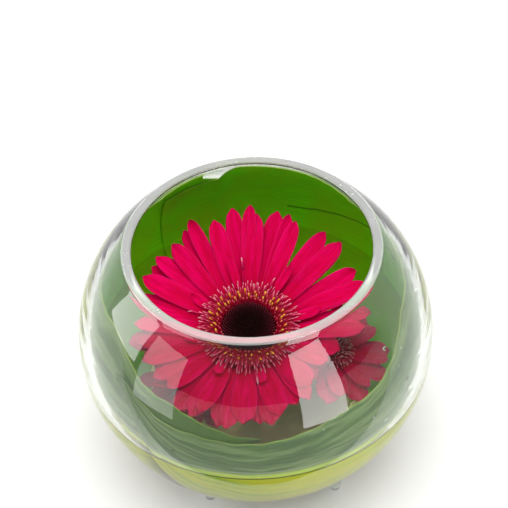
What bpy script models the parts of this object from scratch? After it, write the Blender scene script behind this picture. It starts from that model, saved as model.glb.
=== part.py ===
"""Three gerbera blooms in a round glass bowl that is lined with two broad leaves and half filled with water.

Metres, +Z up. The origin is on the table, below the middle of the bowl. The front of the bowl faces -Y.
Heights named "above the waist" are counted from the bowl's widest level.
"""
import math

import bmesh
import bpy
import numpy as np
from mathutils import Matrix, Vector

SEED = 11
GAP = 0.0003

# Bowl
BOWL_RADIUS = 0.080
WAIST_HEIGHT = 0.064
RIM_ABOVE_WAIST = 0.0542
BASE_BELOW_WAIST = 0.062
OUTER_RISE = 0.0738
OUTER_DROP = 0.0740
INNER_RADIUS = 0.0758
INNER_RISE = 0.0718
INNER_DROP = 0.0700
FLOOR_BELOW_WAIST = 0.0565
RIM_ROUND = 0.0006
BOWL_SEGMENTS = 40

# Feet
FOOT_X = 0.029
FOOT_Y = 0.0466
FEET_OFF_CENTRE = 0.0030
FEET_TURN_DEG = 1.9
FOOT_TOP_RADIUS = 0.0045
FOOT_TIP_RADIUS = 0.0026
FOOT_TIP_ROUND = 0.0006
FOOT_MIDDLE_HEIGHT = 0.0035
FOOT_FROM_GLASS = 0.0006
FOOT_SIDES = 12

# Leaves that line the bowl
LEAF_THICKNESS = 0.0008
LEAF_CLEARANCE = 0.00055
LEAF_OVERLAP_STEP = 0.0024
LEAF_ROWS = 6
LEAF_COLUMN_DEG = 360 / BOWL_SEGMENTS
LEAF_EDGE_WAVE = 0.0007

# Water
WATER_ABOVE_WAIST = -0.0075
WATER_FROM_WALL = 0.0053
WATER_FROM_FLOOR = 0.0004

# Petals and stems
PETAL_THICKNESS = 0.0008
PETAL_STATIONS = (0.0, 0.45, 0.80, 1.0)
PETAL_WIDTHS = (0.42, 0.92, 0.88, 0.34)
PETAL_FRONT_WIDER = 0.12
PETAL_TIP_ROUND = 0.0012
PETAL_GROOVE = 0.0006
PETAL_SUNK = 0.0025
PLATE_THICKNESS = 0.0034
PLATE_SIDES = 24
PLATE_ROUND = 0.0012
LOWEST_LAYER = 0.0009
LAYER_STEP = 0.00095
STEM_SIDES = 8
STEM_RADIUS = 0.0029
STEM_END_ABOVE_FLOOR = 0.0025
HOLE_CLEARANCE = 0.0004

# Florets and discs
RING_THICKNESS = 0.0011
RING_PAST_PLATE = 0.0008
SPIKE_RADIUS = 0.0007
SPIKE_SUNK = 0.0004
DISC_SIDE = 0.0014
DISC_CROWN = 0.32
DISC_MIDDLE = 0.12

PINK = (0.75, 0.0, 0.10)
CRIMSON = (0.45, 0.01, 0.05)
DARK = (0.02, 0.004, 0.004)
GREEN = (0.10, 0.25, 0.02)
LEAF_GREEN = (0.06, 0.22, 0.02)
CLEAR = (0.9, 0.95, 0.92)
WATER_TINT = (0.8, 0.9, 0.8)

# Each bloom: centre above the waist, the way it leans, its petals and where its stem ends on the floor.
# Towards its roomy side (a direction in degrees) petals reach further by a share and rise by more degrees.
BLOOMS = {
    "gerbera_large": {
        "centre": (-0.003, -0.0163, 0.0158),
        "lean_towards_deg": -90,
        "lean_deg": 14,
        "disc_radius": 0.0118,
        "ring_radius": 0.0190,
        "layers": ((16, 0.0525, 0.0104, 6), (16, 0.0505, 0.0100, 10), (8, 0.030, 0.0048, 15)),
        "roomy_side": (75, 0.12, 5),
        "crowded": ((-32, 28, 0.62), (-62, 14, 0.80)),
        "floret_rows": ((0.0137, 20, 12), (0.0161, 23, 30), (0.0185, 25, 52)),
        "floret_height": 0.0048,
        "calyx_radius": 0.0125,
        "stem_end": (-0.004, 0.014),
    },
    "gerbera_right": {
        "centre": (0.0328, -0.0200, 0.0026),
        "lean_towards_deg": -32,
        "lean_deg": 20,
        "disc_radius": 0.0036,
        "ring_radius": 0.0076,
        "layers": ((10, 0.0270, 0.0096, 7), (9, 0.0240, 0.0084, 14)),
        "roomy_side": (0, 0.0, 0),
        "crowded": ((168, 78, 0.5),),
        "floret_rows": ((0.0050, 9, 14), (0.0068, 11, 44)),
        "floret_height": 0.0036,
        "calyx_radius": 0.0060,
        "stem_end": (0.014, -0.004),
    },
    "gerbera_left": {
        "centre": (-0.0270, -0.0300, -0.0036),
        "lean_towards_deg": -125,
        "lean_deg": 3,
        "disc_radius": 0.0060,
        "ring_radius": 0.0095,
        "layers": ((9, 0.0250, 0.0088, 2), (9, 0.0220, 0.0074, 7)),
        "roomy_side": (0, 0.0, 0),
        "crowded": (),
        "floret_rows": ((0.0070, 11, 18), (0.0090, 12, 50)),
        "floret_height": 0.0032,
        "calyx_radius": 0.0068,
        "stem_end": (-0.019, -0.010),
    },
}


def clear_scene():
    """Remove whatever the file starts with."""
    for item in list(bpy.data.objects):
        bpy.data.objects.remove(item, do_unlink=True)


def material(name, colour, roughness=0.5, transmission=0.0):
    """One Principled material with its own colour."""
    made = bpy.data.materials.new(name)
    made.use_nodes = True
    shader = made.node_tree.nodes["Principled BSDF"]
    shader.inputs["Base Color"].default_value = (*colour, 1.0)
    shader.inputs["Roughness"].default_value = roughness
    shader.inputs["Metallic"].default_value = 0.0
    shader.inputs["Transmission Weight"].default_value = transmission
    return made


def add_object(name, points, faces, look=None, location=(0.0, 0.0, 0.0)):
    """A mesh object from points and faces, in the scene's collection."""
    mesh = bpy.data.meshes.new(name)
    mesh.from_pydata([tuple(p) for p in points], [], [tuple(f) for f in faces])
    mesh.validate()
    made = bpy.data.objects.new(name, mesh)
    made.location = location
    bpy.context.scene.collection.objects.link(made)
    if look is not None:
        mesh.materials.append(look)
    return made


def face_outwards(item):
    """Turn every face of a closed mesh to point out."""
    shell = bmesh.new()
    shell.from_mesh(item.data)
    bmesh.ops.recalc_face_normals(shell, faces=shell.faces)
    shell.to_mesh(item.data)
    shell.free()


def apply_modifiers(item):
    """Replace the object's mesh by what its modifiers give."""
    graph = bpy.context.evaluated_depsgraph_get()
    made = bpy.data.meshes.new_from_object(item.evaluated_get(graph))
    item.modifiers.clear()
    item.data = made


def join_all(item, others, operation="UNION"):
    """One Boolean with a collection of other objects, applied, with those objects then removed."""
    group = bpy.data.collections.new(item.name + "_repeats")
    bpy.context.scene.collection.children.link(group)
    for other in others:
        bpy.context.scene.collection.objects.unlink(other)
        group.objects.link(other)
    joint = item.modifiers.new("join", "BOOLEAN")
    joint.operation = operation
    joint.operand_type = "COLLECTION"
    joint.collection = group
    joint.solver = "MANIFOLD"
    apply_modifiers(item)
    for other in others:
        bpy.data.objects.remove(other, do_unlink=True)
    bpy.data.collections.remove(group)


def turned(profile, segments):
    """A profile of (radius, height) points turned about Z. Its first and last points lie on the axis."""
    points = [(0.0, 0.0, profile[0][1])]
    for radius, height in profile[1:-1]:
        for i in range(segments):
            angle = 2 * math.pi * i / segments
            points.append((radius * math.cos(angle), radius * math.sin(angle), height))
    points.append((0.0, 0.0, profile[-1][1]))
    rings = len(profile) - 2
    last = len(points) - 1
    faces = []
    for i in range(segments):
        j = (i + 1) % segments
        faces.append((0, 1 + j, 1 + i))
        for k in range(rings - 1):
            low = 1 + k * segments
            high = low + segments
            faces.append((low + i, low + j, high + j, high + i))
        top = 1 + (rings - 1) * segments
        faces.append((top + i, top + j, last))
    return points, faces


def ellipse_arc(radius, rise, start, end, steps):
    """Points of a quarter ellipse between two heights, evenly spaced in its angle."""
    low = math.asin(start / rise)
    high = math.asin(end / rise)
    angles = np.linspace(low, high, steps)
    return [(radius * math.cos(a), rise * math.sin(a)) for a in angles]


def bowl_profile():
    """The bowl's section from the middle of its base, up the outside, over the rim and down the inside."""
    arc_steps = 6
    base_corner = 0.004
    floor_corner = 0.005
    outside = ellipse_arc(BOWL_RADIUS, OUTER_DROP, -BASE_BELOW_WAIST + base_corner / 2, 0.0, arc_steps)
    outside += ellipse_arc(BOWL_RADIUS, OUTER_RISE, 0.0, RIM_ABOVE_WAIST - RIM_ROUND, arc_steps)[1:]
    inside = ellipse_arc(INNER_RADIUS, INNER_RISE, RIM_ABOVE_WAIST - RIM_ROUND, 0.0, arc_steps)
    inside += ellipse_arc(INNER_RADIUS, INNER_DROP, 0.0, -FLOOR_BELOW_WAIST + floor_corner, arc_steps)[1:]
    rim = [
        (outside[-1][0] - RIM_ROUND, RIM_ABOVE_WAIST),
        (inside[0][0] + RIM_ROUND, RIM_ABOVE_WAIST),
    ]
    base = [(0.0, -BASE_BELOW_WAIST), (outside[0][0] - base_corner, -BASE_BELOW_WAIST)]
    floor = [(inside[-1][0] - floor_corner, -FLOOR_BELOW_WAIST), (0.0, -FLOOR_BELOW_WAIST)]
    return base + outside + rim + inside + floor


def bowl():
    """The glass bowl, one turned piece with an open mouth."""
    profile = [(r, z + WAIST_HEIGHT) for r, z in bowl_profile()]
    points, faces = turned(profile, BOWL_SEGMENTS)
    made = add_object("bowl", points, faces, material("clear_glass", CLEAR, 0.02, 0.95))
    face_outwards(made)
    made.data.shade_smooth()


def outside_height(x, y):
    """Height of the bowl's lower outside over a point of the table."""
    share = (x * x + y * y) / BOWL_RADIUS**2
    return WAIST_HEIGHT - OUTER_DROP * math.sqrt(1 - share)


def foot(number, x, y, look):
    """A stubby foot: a flat tip on the table, widening up to the bowl's curved underside."""
    rings = (
        (FOOT_TIP_RADIUS - FOOT_TIP_ROUND, 0.0),
        (FOOT_TIP_RADIUS, FOOT_TIP_ROUND),
        (0.5 * (FOOT_TIP_RADIUS + FOOT_TOP_RADIUS), FOOT_MIDDLE_HEIGHT),
    )
    angles = [2 * math.pi * i / FOOT_SIDES for i in range(FOOT_SIDES)]
    points = [(x, y, 0.0)]
    for radius, height in rings:
        points += [(x + radius * math.cos(a), y + radius * math.sin(a), height) for a in angles]
    for a in angles:
        px = x + FOOT_TOP_RADIUS * math.cos(a)
        py = y + FOOT_TOP_RADIUS * math.sin(a)
        points.append((px, py, outside_height(px, py) - FOOT_FROM_GLASS))
    points.append((x, y, outside_height(x, y) - FOOT_FROM_GLASS))
    last = len(points) - 1
    faces = []
    for i in range(FOOT_SIDES):
        j = (i + 1) % FOOT_SIDES
        faces.append((0, 1 + j, 1 + i))
        for k in range(len(rings)):
            low = 1 + k * FOOT_SIDES
            faces.append((low + i, low + j, low + FOOT_SIDES + j, low + FOOT_SIDES + i))
        top = 1 + len(rings) * FOOT_SIDES
        faces.append((top + i, top + j, last))
    made = add_object(f"foot_{number}", points, faces, look)
    face_outwards(made)


def feet():
    """Four feet in a rectangle under the bowl, a little to the right of its axis."""
    look = material("clear_foot", CLEAR, 0.1, 0.8)
    places = ((-1, -1), (1, -1), (1, 1), (-1, 1))
    turn = Matrix.Rotation(math.radians(FEET_TURN_DEG), 2)
    for number, (side, end) in enumerate(places, start=1):
        x, y = turn @ Vector((side * FOOT_X, end * FOOT_Y))
        foot(number, x + FEET_OFF_CENTRE, y, look)


def lift_of(height):
    """Angle up or down the bowl's inner curve at which it reaches a height above the waist."""
    rise = INNER_RISE if height >= 0 else INNER_DROP
    return math.asin(height / rise)


def wall_section(lift, inwards):
    """Radius and height above the waist of a point inside the wall, a distance away from the glass."""
    rise = INNER_RISE if lift >= 0 else INNER_DROP
    normal = Vector((math.cos(lift) / INNER_RADIUS, math.sin(lift) / rise)).normalized()
    return (
        INNER_RADIUS * math.cos(lift) - inwards * normal.x,
        rise * math.sin(lift) - inwards * normal.y,
    )


def wall_point(turn, lift, inwards):
    """The same point turned about Z by an angle in radians."""
    radius, level = wall_section(lift, inwards)
    return (radius * math.cos(turn), radius * math.sin(turn), level + WAIST_HEIGHT)


def along(stops, turn):
    """A height read off a list of (degrees, height) stops by a smooth step between neighbours."""
    for (start, low), (end, high) in zip(stops, stops[1:]):
        if turn <= end:
            share = min(max((turn - start) / (end - start), 0.0), 1.0)
            share = share * share * (3 - 2 * share)
            return low + (high - low) * share
    return stops[-1][1]


def leaf(name, top, bottom, inset, look):
    """A broad leaf wrapped round the inside wall, between a top edge and a bottom edge given by stops."""
    start = top[0][0]
    end = top[-1][0]
    columns = round((end - start) / LEAF_COLUMN_DEG) + 1
    rows = LEAF_ROWS + 1
    outer = []
    inner = []
    for i in range(columns):
        degrees = start + i * LEAF_COLUMN_DEG
        turn = math.radians(degrees)
        wave = LEAF_EDGE_WAVE * math.sin(3.1 * turn) * math.sin(8.3 * turn + 0.6)
        high = lift_of(along(top, degrees) + wave)
        low = lift_of(along(bottom, degrees))
        away = LEAF_CLEARANCE + along(inset, degrees)
        for k in range(rows):
            lift = low + (high - low) * k / LEAF_ROWS
            outer.append(wall_point(turn, lift, away))
            inner.append(wall_point(turn, lift, away + LEAF_THICKNESS))
    shift = len(outer)
    faces = []
    for i in range(columns - 1):
        for k in range(LEAF_ROWS):
            a = i * rows + k
            b = a + rows
            faces += [(a, b, b + 1), (a, b + 1, a + 1)]
            faces += [(shift + a, shift + b + 1, shift + b), (shift + a, shift + a + 1, shift + b + 1)]
        for k, flip in ((0, False), (LEAF_ROWS, True)):
            a = i * rows + k
            b = a + rows
            edge = (a, shift + a, shift + b, b)
            faces.append(edge[::-1] if flip else edge)
    for i, flip in ((0, True), (columns - 1, False)):
        for k in range(LEAF_ROWS):
            a = i * rows + k
            edge = (a, shift + a, shift + a + 1, a + 1)
            faces.append(edge if flip else edge[::-1])
    made = add_object(name, outer + inner, faces, look)
    face_outwards(made)
    made.data.shade_smooth()


def leaves():
    """The two lining leaves. Behind the blooms the right one lies over the left, and in front under it."""
    look = material("leaf", LEAF_GREEN, 0.35)
    leaf(
        "leaf_right",
        ((-144, 0.024), (-117, 0.0155), (-90, 0.0145), (-54, 0.021), (-18, 0.036), (9, 0.041), (45, 0.0515),
         (99, 0.0520), (108, 0.0460), (117, 0.0445), (126, 0.037)),
        ((-144, 0.020), (-108, -0.040), (-90, -0.050), (72, -0.050), (126, -0.036)),
        ((-144, 0.0), (63, 0.0), (90, LEAF_OVERLAP_STEP), (126, LEAF_OVERLAP_STEP)),
        look,
    )
    leaf(
        "leaf_left",
        ((99, 0.032), (108, 0.041), (117, 0.0520), (135, 0.0520), (162, 0.044), (180, 0.037), (207, 0.037),
         (234, 0.026), (270, 0.0160)),
        ((99, -0.038), (108, -0.043), (126, -0.050), (207, -0.050), (234, -0.030), (270, 0.0148)),
        ((99, 0.0), (198, 0.0), (216, LEAF_OVERLAP_STEP), (270, LEAF_OVERLAP_STEP)),
        look,
    )


def bezier(start, pull, end, lift, share):
    """A point of the cubic curve from start, first along pull, to end, arriving along lift."""
    a = start
    b = start + pull
    c = end + lift
    d = end
    left = 1 - share
    return a * left**3 + b * 3 * left * left * share + c * 3 * left * share * share + d * share**3


def stem_rings(bloom, extra):
    """Centre, direction and radius of each ring of a stem with its green cup, made fatter by extra."""
    turn = bloom_turn(bloom)
    axis = turn @ Vector((0.0, 0.0, 1.0))
    start = bloom_centre(bloom) - axis * GAP
    cup = bloom["calyx_radius"]
    cup_shape = ((0.0, 0.92), (0.0016, 1.0), (0.0040, 0.72), (0.0062, 0.42))
    rings = []
    for depth, share in cup_shape:
        rings.append((start - axis * depth, -axis, cup * share + extra))
    neck = start - axis * (cup_shape[-1][0] + 0.0022)
    floor = WAIST_HEIGHT - FLOOR_BELOW_WAIST + STEM_END_ABOVE_FLOOR
    foot_point = Vector((*bloom["stem_end"], floor - extra))
    reach = (neck - foot_point).length / 3
    steps = 4
    upright = Vector((0.0, 0.0, reach))
    route = [bezier(neck, -axis * reach, foot_point, upright, i / steps) for i in range(steps + 1)]
    for i, point in enumerate(route):
        before = route[max(i - 1, 0)]
        after = route[min(i + 1, steps)]
        rings.append((point, (after - before).normalized(), STEM_RADIUS + extra))
    return rings


def swept(rings, sides):
    """A closed tube through rings of (centre, direction, radius)."""
    reference = Vector((0.0, 1.0, 0.0)).cross(rings[0][1]).normalized()
    points = [rings[0][0]]
    for centre, direction, radius in rings:
        reference = (reference - direction * reference.dot(direction)).normalized()
        across = direction.cross(reference)
        for i in range(sides):
            angle = 2 * math.pi * i / sides
            points.append(centre + (reference * math.cos(angle) + across * math.sin(angle)) * radius)
    points.append(rings[-1][0])
    last = len(points) - 1
    faces = []
    for i in range(sides):
        j = (i + 1) % sides
        faces.append((0, 1 + j, 1 + i))
        for k in range(len(rings) - 1):
            low = 1 + k * sides
            faces.append((low + i, low + j, low + sides + j, low + sides + i))
        top = 1 + (len(rings) - 1) * sides
        faces.append((top + i, top + j, last))
    return points, faces


def stem(name, bloom, look):
    """The stem and the green cup under a bloom."""
    points, faces = swept(stem_rings(bloom, 0.0), STEM_SIDES)
    made = add_object(name + "_stem", points, faces, look)
    face_outwards(made)
    made.data.shade_smooth()


def water():
    """The water: level on top, inside the leaves, with a hole for each stem."""
    steps = 5
    corner = 0.005
    base = -FLOOR_BELOW_WAIST + WATER_FROM_FLOOR
    lifts = np.linspace(lift_of(base + corner), lift_of(WATER_ABOVE_WAIST), steps)
    side = [wall_section(lift, WATER_FROM_WALL) for lift in lifts]
    top = side[-1][1]
    profile = [(0.0, base), (side[0][0] - corner, base), *side, (0.0, top)]
    points, faces = turned([(r, z + WAIST_HEIGHT) for r, z in profile], BOWL_SEGMENTS)
    made = add_object("water", points, faces, material("water", WATER_TINT, 0.02, 0.95))
    face_outwards(made)
    cutters = []
    for name, bloom in BLOOMS.items():
        points, faces = swept(stem_rings(bloom, HOLE_CLEARANCE), STEM_SIDES)
        cutter = add_object(name + "_hole", points, faces)
        face_outwards(cutter)
        cutters.append(cutter)
    join_all(made, cutters, "DIFFERENCE")


def bloom_turn(bloom):
    """Rotation that leans a bloom's axis from upright."""
    lean = math.radians(bloom["lean_towards_deg"])
    hinge = Vector((-math.sin(lean), math.cos(lean), 0.0))
    return Matrix.Rotation(math.radians(bloom["lean_deg"]), 3, hinge)


def bloom_centre(bloom):
    """Middle of the underside of a bloom's plate."""
    return Vector(bloom["centre"]) + Vector((0.0, 0.0, WAIST_HEIGHT))


def in_place(bloom, item):
    """Set a bloom's piece in the bowl."""
    item.matrix_world = Matrix.Translation(bloom_centre(bloom)) @ bloom_turn(bloom).to_4x4()


def reach_share(bloom, degrees):
    """How much of its length a petal keeps where its neighbours leave it little room."""
    share = 1.0
    for middle, half_width, least in bloom["crowded"]:
        apart = abs((degrees - middle + 180) % 360 - 180) / half_width
        if apart < 1:
            share = min(share, least + (1 - least) * apart**4)
    return share


def petal(turn, edge, tip, width, rise, level, bend, tilt):
    """A petal blade rooted inside the plate's edge, with a blunt tip and a shallow groove along it."""
    half = PETAL_THICKNESS / 2
    root = edge - PETAL_SUNK
    upper = []
    lower = []
    for share, wide in zip(PETAL_STATIONS, PETAL_WIDTHS):
        radius = root + (tip - root) * share
        height = level + (radius - edge) * math.tan(rise) + bend * share * share
        for side in (-1, 0, 1):
            across = side * wide * width / 2
            lift = height + tilt * side * share - (PETAL_GROOVE * share if side == 0 else 0.0)
            forward = radius - (PETAL_TIP_ROUND * abs(side) if share == 1.0 else 0.0)
            x = forward * math.cos(turn) - across * math.sin(turn)
            y = forward * math.sin(turn) + across * math.cos(turn)
            upper.append((x, y, lift + half))
            lower.append((x, y, lift - half))
    shift = len(upper)
    rows = len(PETAL_STATIONS)
    faces = []
    for i in range(rows - 1):
        for k in range(2):
            a = 3 * i + k
            b = a + 3
            faces += [(a, b, b + 1), (a, b + 1, a + 1)]
            faces += [(shift + a, shift + b + 1, shift + b), (shift + a, shift + a + 1, shift + b + 1)]
        faces.append((3 * i, shift + 3 * i, shift + 3 * i + 3, 3 * i + 3))
        faces.append((3 * i + 2, 3 * i + 5, shift + 3 * i + 5, shift + 3 * i + 2))
    end = 3 * (rows - 1)
    for k in range(2):
        faces.append((k, k + 1, shift + k + 1, shift + k))
        faces.append((end + k, shift + end + k, shift + end + k + 1, end + k + 1))
    return upper + lower, faces


def petals(name, bloom, look, draw):
    """The petals of a bloom in their layers, fused to the plate that they grow from."""
    edge = bloom["ring_radius"]
    under = [(0.0, 0.0), (edge - PLATE_ROUND, 0.0), (edge, PETAL_THICKNESS)]
    points, faces = turned(under + [(edge, PLATE_THICKNESS), (0.0, PLATE_THICKNESS)], PLATE_SIDES)
    plate = add_object(name + "_petals", points, faces, look)
    face_outwards(plate)
    blades = []
    roomy_side, more_reach, more_rise = bloom["roomy_side"]
    for layer, (count, reach, width, rise_deg) in enumerate(bloom["layers"]):
        level = LOWEST_LAYER + layer * LAYER_STEP
        for i in range(count):
            degrees = 360 * (i + 0.5 * (layer % 2) + 0.25) / count + draw.uniform(-2.0, 2.0)
            roomy = math.cos(math.radians(degrees - roomy_side))
            tip = reach * (1 + more_reach * roomy + draw.uniform(-0.05, 0.04))
            tip = edge + (tip - edge) * reach_share(bloom, degrees)
            wider = 1 - PETAL_FRONT_WIDER * math.sin(math.radians(degrees))
            points, faces = petal(
                math.radians(degrees),
                edge,
                tip,
                width * wider * draw.uniform(0.9, 1.06),
                math.radians(rise_deg + more_rise * roomy + draw.uniform(-1.5, 1.5)),
                level,
                draw.uniform(-0.0012, 0.0006),
                draw.uniform(-0.0006, 0.0006),
            )
            blade = add_object(f"{name}_blade_{layer}_{i}", points, faces)
            face_outwards(blade)
            blades.append(blade)
    join_all(plate, blades)
    in_place(bloom, plate)
    plate.data.shade_smooth()


def spike(turn, radius, base, height, lean, thick):
    """A three-sided spike that leans outwards from the ring of florets."""
    outwards = Vector((math.cos(turn), math.sin(turn), 0.0))
    sideways = Vector((-math.sin(turn), math.cos(turn), 0.0))
    up = Vector((0.0, 0.0, 1.0))
    along_spike = outwards * math.sin(lean) + up * math.cos(lean)
    across = along_spike.cross(sideways)
    root = outwards * radius + up * base
    points = []
    for level, share in ((0.0, 1.0), (0.75, 0.8)):
        for i in range(3):
            angle = 2 * math.pi * i / 3
            offset = (across * math.cos(angle) + sideways * math.sin(angle)) * thick * share
            points.append(root + along_spike * height * level + offset)
    points.append(root + along_spike * height)
    faces = [(2, 1, 0)]
    for i in range(3):
        j = (i + 1) % 3
        faces.append((i, j, 3 + j, 3 + i))
        faces.append((3 + i, 3 + j, 6))
    return points, faces


def ring_base(inner, outer, low, high, segments):
    """A flat ring."""
    points = []
    for radius, height in ((inner, low), (outer, low), (outer, high), (inner, high)):
        for i in range(segments):
            angle = 2 * math.pi * i / segments
            points.append((radius * math.cos(angle), radius * math.sin(angle), height))
    faces = []
    for k in range(4):
        for i in range(segments):
            j = (i + 1) % segments
            a = k * segments
            b = ((k + 1) % 4) * segments
            faces.append((a + i, a + j, b + j, b + i))
    return points, faces


def florets(name, bloom, look, draw):
    """The ring of small florets round the disc: leaning spikes fused to a flat ring."""
    low = PLATE_THICKNESS + GAP
    inner = bloom["disc_radius"] + GAP
    outer = bloom["ring_radius"] + RING_PAST_PLATE
    points, faces = ring_base(inner, outer, low, low + RING_THICKNESS, PLATE_SIDES)
    ring = add_object(name + "_florets", points, faces, look)
    face_outwards(ring)
    spikes = []
    for row, (radius, count, lean_deg) in enumerate(bloom["floret_rows"]):
        for i in range(count):
            turn = 2 * math.pi * (i + 0.5 * (row % 2)) / count + draw.uniform(-0.03, 0.03)
            points, faces = spike(
                turn,
                radius,
                low + SPIKE_SUNK,
                bloom["floret_height"] * draw.uniform(0.85, 1.1),
                math.radians(lean_deg + draw.uniform(-5, 5)),
                SPIKE_RADIUS,
            )
            floret = add_object(f"{name}_floret_{row}_{i}", points, faces)
            face_outwards(floret)
            spikes.append(floret)
    join_all(ring, spikes)
    in_place(bloom, ring)


def disc(name, bloom, look):
    """The dark eye of a bloom: a low dome covered by small pointed buds, one on each cell of a round grid."""
    radius = bloom["disc_radius"]
    rings = 5 if radius > 0.01 else 3
    around = 22 if radius > 0.01 else 14
    low = PLATE_THICKNESS + GAP
    bud = 0.09 * radius + 0.0003

    def dome(share, degrees, extra=0.0):
        angle = math.radians(degrees)
        lift = low + DISC_SIDE + DISC_CROWN * radius * (1 - share * share) + extra
        return (radius * share * math.cos(angle), radius * share * math.sin(angle), lift)

    step = 360 / around
    shares = [1.0 - (1.0 - DISC_MIDDLE) * k / rings for k in range(rings + 1)]
    points = [(0.0, 0.0, low)]
    for i in range(around):
        angle = math.radians(i * step)
        points.append((radius * math.cos(angle), radius * math.sin(angle), low))
    for share in shares:
        points += [dome(share, i * step) for i in range(around)]
    tips = len(points)
    for outer, inner in zip(shares, shares[1:]):
        points += [dome(0.5 * (outer + inner), (i + 0.5) * step, bud) for i in range(around)]
    points.append(dome(0.0, 0.0))
    faces = []
    for i in range(around):
        j = (i + 1) % around
        faces.append((0, 1 + j, 1 + i))
        faces.append((1 + i, 1 + j, 1 + around + j, 1 + around + i))
        for k in range(rings):
            a = 1 + (k + 1) * around
            b = a + around
            tip = tips + k * around + i
            corners = (a + i, a + j, b + j, b + i)
            faces += [(corners[n], corners[(n + 1) % 4], tip) for n in range(4)]
        last_ring = 1 + (rings + 1) * around
        faces.append((last_ring + i, last_ring + j, len(points) - 1))
    made = add_object(name + "_disc", points, faces, look)
    face_outwards(made)
    in_place(bloom, made)


def blooms():
    """All blooms: each has petals, florets, a disc and a stem."""
    pink = material("petal_pink", PINK, 0.5)
    crimson = material("floret_crimson", CRIMSON, 0.6)
    dark = material("disc_dark", DARK, 0.6)
    green = material("stem_green", GREEN, 0.5)
    for number, (name, bloom) in enumerate(BLOOMS.items()):
        draw = np.random.default_rng(SEED + number)
        petals(name, bloom, pink, draw)
        florets(name, bloom, crimson, draw)
        disc(name, bloom, dark)
        stem(name, bloom, green)


def main():
    clear_scene()
    bowl()
    feet()
    leaves()
    water()
    blooms()


main()
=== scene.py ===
# %% [markdown]
# Gerberas in a glass bowl. Three crimson-pink blooms rest on the stems that stand in the water of a round
# glass bowl, and two broad leaves line its wall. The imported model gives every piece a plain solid. This
# lesson puts a finer piece in the place of each solid: surfaces worked out with numpy, then materials
# made of nodes, then the light and the camera.

import math

import bpy
import numpy as np
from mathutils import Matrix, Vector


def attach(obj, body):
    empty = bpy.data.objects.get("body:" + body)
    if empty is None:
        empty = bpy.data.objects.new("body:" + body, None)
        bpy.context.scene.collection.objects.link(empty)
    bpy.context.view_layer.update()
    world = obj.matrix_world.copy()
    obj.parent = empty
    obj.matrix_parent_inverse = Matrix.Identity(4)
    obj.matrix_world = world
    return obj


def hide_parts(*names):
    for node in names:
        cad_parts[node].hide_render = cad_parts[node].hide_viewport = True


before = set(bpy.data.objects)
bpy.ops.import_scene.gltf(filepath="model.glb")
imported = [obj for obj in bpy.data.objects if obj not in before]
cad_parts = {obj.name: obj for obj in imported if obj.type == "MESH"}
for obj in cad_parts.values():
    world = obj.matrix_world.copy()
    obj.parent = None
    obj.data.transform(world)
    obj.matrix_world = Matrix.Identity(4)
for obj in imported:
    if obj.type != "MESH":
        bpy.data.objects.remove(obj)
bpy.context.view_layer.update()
print("nodes in the frame:", len(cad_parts))

# %% [markdown]
# All sizes are in metres, with +Z up and the front of the bowl towards -Y. They are the same named values
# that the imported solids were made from, so each new piece lands on its solid without any fitting. Heights
# that are called "above the waist" are counted from the bowl's widest level.
#
# Each layer of a bloom gives the number of its straps, their reach, their width, their rise in degrees
# and their level, counted in steps up from the lowest layer. The roomy side is where the straps have
# space to grow: its direction in degrees, the extra share of reach, and the extra rise. A crowded side
# is its direction, how wide it is, and the share of the reach that is left there.

# %% Sizes
SEED = 11
GAP = 0.0003
WAIST = 0.064
RIM = 0.0542
BASE = -0.062
OUTER_RADIUS = 0.080
OUTER_RISE = 0.0738
OUTER_DROP = 0.0740
INNER_RADIUS = 0.0758
INNER_RISE = 0.0718
INNER_DROP = 0.0700
FLOOR = -0.0565
WATER_LEVEL = -0.0075
PLATE = 0.0034

BLOOMS = {
    "gerbera_large": {
        "centre": (-0.003, -0.0163, 0.0158), "lean_towards": -90, "lean": 14, "disc": 0.0118, "ring": 0.0190,
        "layers": ((16, 0.0525, 0.0104, 6, 0), (16, 0.0505, 0.0100, 10, 1), (8, 0.030, 0.0048, 15, 2),
                   (15, 0.0520, 0.0094, 8, 0.5)),
        "roomy_side": (75, 0.12, 5),
        "crowded": ((-32, 28, 0.62), (-62, 14, 0.80)), "cup": 0.0125, "stem_end": (-0.004, 0.014),
    },
    "gerbera_right": {
        "centre": (0.0328, -0.0200, 0.0026), "lean_towards": -32, "lean": 20, "disc": 0.0036, "ring": 0.0076,
        "layers": ((10, 0.0270, 0.0096, 7, 0), (9, 0.0240, 0.0084, 14, 1)),
        "roomy_side": (0, 0.0, 0), "crowded": ((168, 78, 0.5),), "cup": 0.0060, "stem_end": (0.014, -0.004),
    },
    "gerbera_left": {
        "centre": (-0.0270, -0.0300, -0.0036), "lean_towards": -125, "lean": 3, "disc": 0.0060, "ring": 0.0095,
        "layers": ((9, 0.0250, 0.0088, 2, 0), (9, 0.0220, 0.0074, 7, 1)),
        "roomy_side": (0, 0.0, 0), "crowded": (), "cup": 0.0068, "stem_end": (-0.019, -0.010),
    },
}
print("bowl", 2000 * OUTER_RADIUS, "mm wide, rim", round(1000 * (WAIST + RIM), 1), "mm above the table")

# %% [markdown]
# A mesh is a list of points and a list of faces that name their corners. On a grid of points the faces
# follow from the numbering alone, so one helper serves every surface here. Each point can also carry
# values of its own, such as how far along a petal it lies, and a material can read those later.

# %% Helpers for meshes
def grid_quads(rows, columns, wrap=False):
    """Corner numbers of a grid's quads: each joins two neighbours of a row with the same two of the next."""
    across = columns if wrap else columns - 1
    i, j = np.meshgrid(np.arange(rows - 1), np.arange(across), indexing="ij")
    a = i * columns + j
    b = i * columns + (j + 1) % columns
    return np.stack([a, b, b + columns, a + columns], axis=-1).reshape(-1, 4)


def repeat_faces(faces, count, stride):
    """The same faces for a row of equal shapes, each with its own points: corner numbers plus i times stride."""
    shifts = np.arange(count)[:, None, None] * stride
    return (faces[None, :, :] + shifts).reshape(-1, faces.shape[1])


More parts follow.
